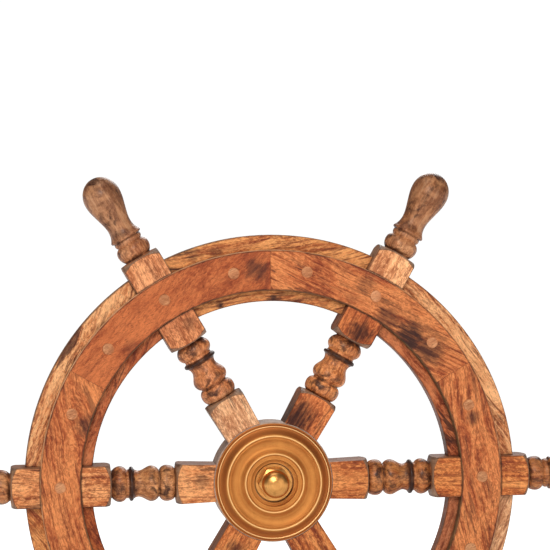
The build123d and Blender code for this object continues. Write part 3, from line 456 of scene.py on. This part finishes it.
def bung_extra(m, u, v, w, col, rgh, height):
    d, n = bung_local(m)
    tint = m.t.nodes.new("ShaderNodeTexWhiteNoise")
    tint.noise_dimensions = "1D"
    m.put(tint.inputs["W"], m.scale(n, 1.0, 40.0))
    t = tint.outputs["Value"]
    col = m.mix(1.0, col, m.ramp(t, [(0.0, (0.80, 0.78, 0.74)), (1.0, (1.08, 1.10, 1.14))]), "MULTIPLY")
    # the edge takes the tone of the board round it
    soft = m.math("MULTIPLY", m.step(m.math("ADD", d, m.scale(m.noise(m.P, detail=2.0, scale=260.0), 0.0022, -0.0011)), 0.0040, 0.0050), 0.75)
    col = m.mix(soft, col, (0.50, 0.150, 0.046))
    col = dirt_and_painted_shade(m, bung_line(m, d), col, 0.62, (0.045, 0.016, 0.009))
    return col, rgh, height


BUNG = dict(light=(0.680, 0.325, 0.150), mid=(0.560, 0.225, 0.095), deep=(0.400, 0.140, 0.055))
e, t = direction(20.0)
for which in ("front_plugs", "rear_plugs"):
    wear(nodes[which], wood("wood_" + which, e, t, (0, MID, 0), seed=61.0 + len(which), lines=0.25, speckle=0.30, swirl=0.35, streak_amt=0.1,
                            pith=(0.4, 0.3), tilt=0.0, warp=0.004, rough=0.58, extra=bung_extra, **BUNG))
wear(nodes["hub_nave"], wood("wood_hub_nave", Vector((1, 0, 0)), Vector((0, 0, 1)), (0, MID, 0), seed=70.0, extra=nave_extra, **BROWN))


# ------------------------------------------------------------------ metals
def spun(name, light, dark, rough, lines=1.0, tarnish=0.5, highlight_crests=(), coppery=None):
    """Turned or spun metal: fine rings about the wheel's axis, tarnish in the hollows."""
    m = Mat(name)
    x, y, z = m.split(m.P)
    r = radius(m)
    ang = m.math("ARCTAN2", z, x)
    # ring marks wander a little round the turn
    wob = m.noise(m.xyz(m.math("COSINE", ang), m.math("SINE", ang), 0.0), detail=1.0, scale=0.8)
    rr = m.math("ADD", r, m.math("MULTIPLY", m.math("ADD", wob, -0.5), 0.0002))
    along = m.math("ADD", rr, m.scale(y, 0.9))
    fine = m.noise(None, detail=4.0, rough=0.75, dims="1D", w=m.scale(along, 2600.0))
    broad = m.noise(None, detail=2.0, rough=0.5, dims="1D", w=m.scale(along, 420.0, 3.3))
    patina = m.noise(m.P, detail=5.0, rough=0.62, scale=46.0, dist=0.4)
    blot = m.noise(m.P, detail=3.0, rough=0.6, scale=190.0)
    col = m.ramp(m.math("ADD", m.scale(patina, 0.7), m.scale(broad, 0.3)), [(0.32, dark), (0.50, tuple((a + b) / 2 for a, b in zip(light, dark))), (0.66, light)])
    col = m.mix(m.math("MULTIPLY", m.step(blot, 0.58, 0.74), 0.35 * tarnish), col, tuple(c * 0.55 for c in dark))
    col = m.mix(0.14, col, m.ramp(fine, [(0.3, 0.2), (0.7, 0.8)]), "OVERLAY")
    rgh = m.math("ADD", m.scale(patina, 0.22, rough - 0.10), m.scale(fine, 0.10, -0.05))
    if coppery is not None:                         # the flank is painted a darker, coppery colour
        band = m.math("MULTIPLY", m.step(r, coppery[0], coppery[1]), m.step(r, coppery[2] + 0.0002, coppery[2] - 0.0002))
        col = m.mix(m.math("MULTIPLY", band, m.scale(patina, 0.5, 0.45)), col, (0.430, 0.140, 0.040))
    for at, half in highlight_crests:                       # thin crests painted bright as a highlight, with lower roughness
        crest_highlight = m.step(m.math("ABSOLUTE", m.scale(rr, 1.0, -at)), half, half * 0.35)
        col = m.mix(m.math("MULTIPLY", crest_highlight, 0.75), col, (0.960, 0.620, 0.270))
        rgh = m.math("SUBTRACT", rgh, m.math("MULTIPLY", crest_highlight, 0.10))
    m.put(m.b.inputs["Base Color"], col)
    m.b.inputs["Metallic"].default_value = 1.0
    m.put(m.b.inputs["Roughness"], m.math("MAXIMUM", rgh, 0.08))
    m.put(m.b.inputs["Normal"], m.bump(m.math("ADD", m.scale(fine, 0.6), m.scale(broad, 0.3)), 0.30 * lines, 0.00009))
    return m


plate = spun("brass_spun", (0.690, 0.310, 0.082), (0.500, 0.180, 0.045), 0.60, lines=0.30, tarnish=0.45,
             highlight_crests=((0.0484, 0.0006), (0.0406, 0.0007), (0.0252, 0.0006)), coppery=(0.0415, 0.0425, 0.0506))
for n in ("hub_front_plate", "hub_rear_plate"):
    wear(nodes[n], plate.m)
fasten = spun("brass_fastener", (0.80, 0.400, 0.120), (0.52, 0.215, 0.060), 0.32, lines=0.6, tarnish=0.9)
for n in ("hub_nut", "hub_washer", "hub_bolts", "front_screws", "rear_screws"):
    wear(nodes[n], fasten.m)
bronze = spun("bronze_bearing", (0.60, 0.335, 0.150), (0.36, 0.175, 0.070), 0.34, lines=0.9, tarnish=0.7)
for n in ("hub_sleeve", "front_bush", "rear_bush", "front_thrust_washer", "rear_thrust_washer"):
    wear(nodes[n], bronze.m)
steel = spun("steel_shaft", (0.66, 0.65, 0.63), (0.42, 0.41, 0.40), 0.27, lines=1.2, tarnish=0.4)
for n in ("helm_shaft", "shaft_collar", "collar_screw", "hub_key"):
    wear(nodes[n], steel.m)


def cast(name, light, dark):
    m = Mat(name)
    big = m.noise(m.P, detail=4.0, rough=0.6, scale=60.0)
    grit = m.noise(m.P, detail=5.0, rough=0.7, scale=900.0)
    verd = m.noise(m.P, detail=5.0, rough=0.65, scale=95.0, dist=0.6)
    col = m.ramp(big, [(0.34, dark), (0.66, light)])
    col = m.mix(m.math("MULTIPLY", m.step(verd, 0.60, 0.72), 0.30), col, (0.10, 0.13, 0.085))
    col = m.mix(0.25, col, m.ramp(grit, [(0.3, 0.25), (0.7, 0.75)]), "OVERLAY")
    # the turned front end and the faced flange are brighter than the cast skin
    x, y, z = m.split(m.P)
    r = radius(m)
    faced = m.math("MAXIMUM", m.step(y, -0.0412, -0.0420), m.step(y, -0.0020, -0.0012))
    col = m.mix(m.math("MULTIPLY", faced, 0.7), col, light)
    m.put(m.b.inputs["Base Color"], col)
    m.b.inputs["Metallic"].default_value = 1.0
    m.put(m.b.inputs["Roughness"], m.math("SUBTRACT", m.scale(grit, 0.2, 0.40), m.scale(faced, 0.15)))
    m.put(m.b.inputs["Normal"], m.bump(m.math("MULTIPLY", grit, m.scale(faced, -0.8, 1.0)), 0.5, 0.00035))
    return m.m


wear(nodes["bearing_housing"], cast("bronze_cast", (0.50, 0.30, 0.12), (0.27, 0.145, 0.055)))


# ------------------------------------------------------------------ stage, light, camera
bpy.ops.mesh.primitive_plane_add(size=60.0, location=(0, 0, -0.335))
floor = bpy.context.object
floor.name = "floor"
fm = bpy.data.materials.new("floor_pale")
fm.use_nodes = True
fm.node_tree.nodes["Principled BSDF"].inputs["Base Color"].default_value = (0.80, 0.80, 0.795, 1)
fm.node_tree.nodes["Principled BSDF"].inputs["Roughness"].default_value = 0.9
fm.node_tree.nodes["Principled BSDF"].inputs["Specular IOR Level"].default_value = 0.1
fm.node_tree.nodes["Principled BSDF"].inputs["Emission Color"].default_value = (1.0, 1.0, 1.0, 1)
far = fm.node_tree.nodes.new("ShaderNodeVectorMath")
far.operation = "LENGTH"
fm.node_tree.links.new(fm.node_tree.nodes.new("ShaderNodeTexCoord").outputs["Object"], far.inputs[0])
fade = fm.node_tree.nodes.new("ShaderNodeMapRange")
for i, x in enumerate((0.9, 1.7, 0.30, 0.93)):
    fade.inputs[i + 1].default_value = x
fm.node_tree.links.new(far.outputs["Value"], fade.inputs[0])
fm.node_tree.links.new(fade.outputs[0], fm.node_tree.nodes["Principled BSDF"].inputs["Emission Strength"])
floor.data.materials.append(fm)

world = bpy.data.worlds.new("studio")
scene.world = world
world.use_nodes = True
bg = world.node_tree.nodes["Background"]
bg.inputs[0].default_value = (1.0, 1.0, 1.0, 1.0)
seen = world.node_tree.nodes.new("ShaderNodeLightPath").outputs["Is Camera Ray"]
level = world.node_tree.nodes.new("ShaderNodeMapRange")
level.inputs[3].default_value = 0.17          # what lights the object
level.inputs[4].default_value = 1.04          # what shows behind it
world.node_tree.links.new(seen, level.inputs[0])
world.node_tree.links.new(level.outputs[0], bg.inputs[1])


def area(name, loc, target, size, power, color=(1, 1, 1)):
    d = bpy.data.lights.new(name, "AREA")
    d.shape = "RECTANGLE"
    d.size, d.size_y = size
    d.energy = power
    d.color = color
    o = bpy.data.objects.new(name, d)
    scene.collection.objects.link(o)
    o.location = loc
    o.rotation_euler = (Vector(target) - Vector(loc)).to_track_quat("-Z", "Y").to_euler()
    return o


area("key", (-0.55, -2.3, 1.25), (0, MID, 0.05), (0.9, 0.7), 33.0, (1.0, 0.985, 0.96))
area("fill", (1.2, -2.1, 0.5), (0, MID, 0.0), (1.2, 1.2), 6.5)
area("back", (0.6, 1.9, 1.4), (0, MID, 0.0), (1.2, 1.0), 20.0)
area("top", (-0.3, -0.6, 2.1), (0, MID, 0.0), (1.2, 1.0), 7.0)

cam = bpy.data.cameras.new("camera")
cam_ob = bpy.data.objects.new("camera", cam)
scene.collection.objects.link(cam_ob)
AZ, EL, DIST, ROLL = math.radians(6.623), math.radians(6.323), 2.100, math.radians(-0.803)
eye = Vector((-math.sin(AZ) * math.cos(EL), -math.cos(AZ) * math.cos(EL), math.sin(EL))) * DIST + Vector((0, MID, 0))
aim = Vector((0.0059, MID, 0.17899))
fwd = (aim - eye).normalized()
right = fwd.cross(Vector((0, 0, 1))).normalized()
up = right.cross(fwd)
R = right * math.cos(ROLL) + up * math.sin(ROLL)
U = -right * math.sin(ROLL) + up * math.cos(ROLL)
cam_ob.matrix_world = Matrix(((R.x, U.x, -fwd.x, eye.x), (R.y, U.y, -fwd.y, eye.y), (R.z, U.z, -fwd.z, eye.z), (0, 0, 0, 1)))
cam.sensor_fit = "HORIZONTAL"
cam.sensor_width = 36.0
cam.lens = 2395.64 * 36.0 / 550.0
cam.clip_end = 200.0
cam.dof.use_dof = False
scene.camera = cam_ob
scene.view_settings.view_transform = "Standard"
